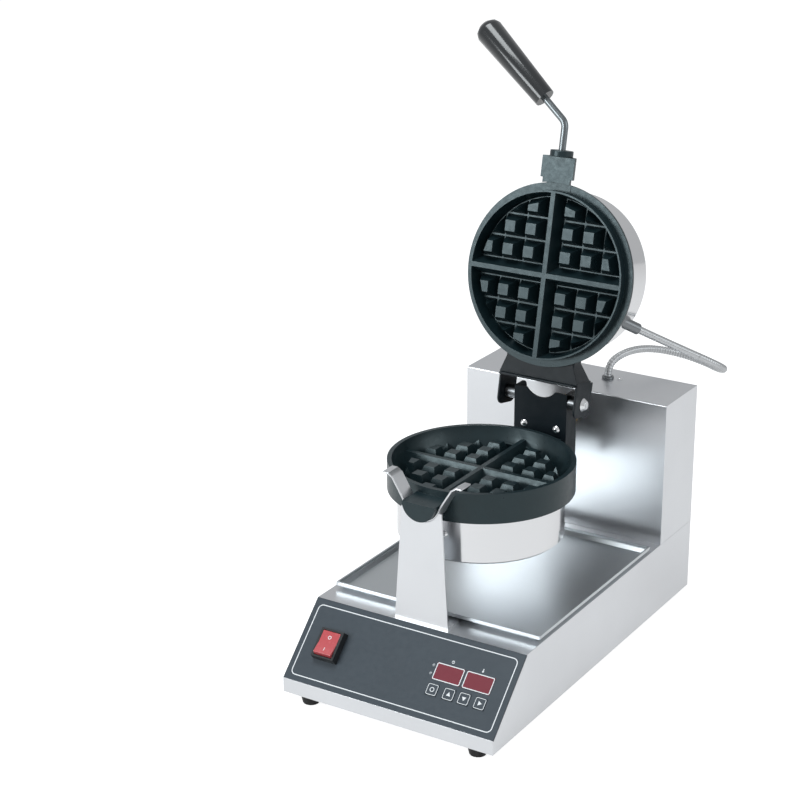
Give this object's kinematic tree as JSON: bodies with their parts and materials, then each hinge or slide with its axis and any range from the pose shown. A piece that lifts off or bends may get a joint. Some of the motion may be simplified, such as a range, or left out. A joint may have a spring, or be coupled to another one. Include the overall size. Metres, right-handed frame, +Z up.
{
  "type": "rotary waffle baker",
  "caption": "Countertop round waffle baker whose two hinged irons turn over as a set, on a stainless base with a sloped control panel.",
  "frame": {"origin": "middle of the base where its feet rest, the free conduit left out", "axes": "+Z up, the control panel faces -Y, +X to the right as seen from the panel"},
  "size_m": [0.2892, 0.5341, 0.6808],
  "materials": {
    "stainless_body": "fine brushed stainless sheet",
    "stainless_cover": "polished stainless can",
    "stainless_tray": "satin stainless tray",
    "stainless_bracket": "satin stainless bracket",
    "cast_coated": "cast aluminium with a dark non-stick coating",
    "hinge_dark": "dark satin coated sheet",
    "bright_fastener": "bright plated steel",
    "rod_steel": "plain steel rod",
    "machined_steel": "machined steel",
    "bronze_bush": "sintered bronze",
    "heater_sheath": "heater sheath",
    "grip_black": "glossy black moulding",
    "panel_grey": "smooth slate overlay",
    "switch_black": "black moulding",
    "rocker_red": "translucent red moulding",
    "display_red": "dark red filter",
    "lamp_grey": "clear lamp",
    "key_slate": "smooth slate key",
    "board_green": "printed board",
    "inlet_black": "black moulding",
    "terminal_white": "pale moulding",
    "foot_rubber": "black rubber",
    "conduit_steel": "interlocked metal hose"
  },
  "bodies": {
    "root": {"base_housing": "stainless_body", "bottom_cover": "stainless_body", "feet": "foot_rubber", "foot_screws": "bright_fastener", "power_inlet": "inlet_black", "transformer": "machined_steel", "terminal_block": "terminal_white", "control_panel": "panel_grey", "display_windows": "display_red", "indicator_lamps": "lamp_grey", "control_board": "board_green", "switch_housing": "switch_black", "tower_housing": "stainless_body", "rear_cover": "stainless_body", "tower_screws": "bright_fastener", "conduit_gland_lower": "machined_steel", "shaft_bearing": "bronze_bush", "front_bracket": "stainless_bracket", "pan_cradle": "stainless_bracket", "bracket_screws": "bright_fastener", "conduit_lower": "conduit_steel"},
    "rocker": {"rocker_switch": "rocker_red"},
    "tray": {"drip_tray": "stainless_tray"},
    "carrier": {"lower_pan": "cast_coated", "lower_cover": "stainless_cover", "lower_cover_screws": "bright_fastener", "lower_heater": "heater_sheath", "temperature_probe": "machined_steel", "hinge_channel": "hinge_dark", "channel_screws": "bright_fastener", "rotation_shaft": "machined_steel", "shaft_nut": "machined_steel", "hinge_bolts": "bright_fastener", "hinge_spacers": "machined_steel"},
    "lid": {"upper_pan": "cast_coated", "upper_cover": "stainless_cover", "upper_cover_screws": "bright_fastener", "upper_heater": "heater_sheath", "upper_bracket": "hinge_dark", "handle_boss": "cast_coated", "handle_rod": "rod_steel", "handle_grip": "grip_black", "conduit_gland_upper": "machined_steel", "conduit_upper": "conduit_steel"},
    "key_body_1": {"key_1": "key_slate"},
    "key_body_2": {"key_2": "key_slate"},
    "key_body_3": {"key_3": "key_slate"},
    "key_body_4": {"key_4": "key_slate"}
  },
  "joints": [
    {"name": "rocker_tilt", "type": "hinge", "parent": "root", "child": "rocker", "pos_m": [-0.09, -0.20736, 0.06605], "axis": [1, 0, 0], "range_deg": [0, 14]},
    {"name": "tray_slide", "type": "slide", "parent": "root", "child": "tray", "axis": [1, 0, 0], "range_m": [0, 0.13]},
    {"name": "pan_flip", "type": "hinge", "parent": "root", "child": "carrier", "pos_m": [0, 0.1, 0.2364], "axis": [0, 1, 0], "range_deg": [-35, 35], "deforming": ["conduit_lower"]},
    {"name": "lid_hinge", "type": "hinge", "parent": "carrier", "child": "lid", "pos_m": [0, 0.1031, 0.2691], "axis": [1, 0, 0], "range_deg": [0, 101.4], "deforming": ["conduit_upper"]},
    {"name": "key_1_press", "type": "slide", "parent": "root", "child": "key_body_1", "axis": [0, 0.6998, -0.7143], "range_m": [0, 0.0007], "stiffness_N_per_m": 600, "springref_m": -0.0005},
    {"name": "key_2_press", "type": "slide", "parent": "root", "child": "key_body_2", "axis": [0, 0.6998, -0.7143], "range_m": [0, 0.0007], "stiffness_N_per_m": 600, "springref_m": -0.0005},
    {"name": "key_3_press", "type": "slide", "parent": "root", "child": "key_body_3", "axis": [0, 0.6998, -0.7143], "range_m": [0, 0.0007], "stiffness_N_per_m": 600, "springref_m": -0.0005},
    {"name": "key_4_press", "type": "slide", "parent": "root", "child": "key_body_4", "axis": [0, 0.6998, -0.7143], "range_m": [0, 0.0007], "stiffness_N_per_m": 600, "springref_m": -0.0005}
  ]
}
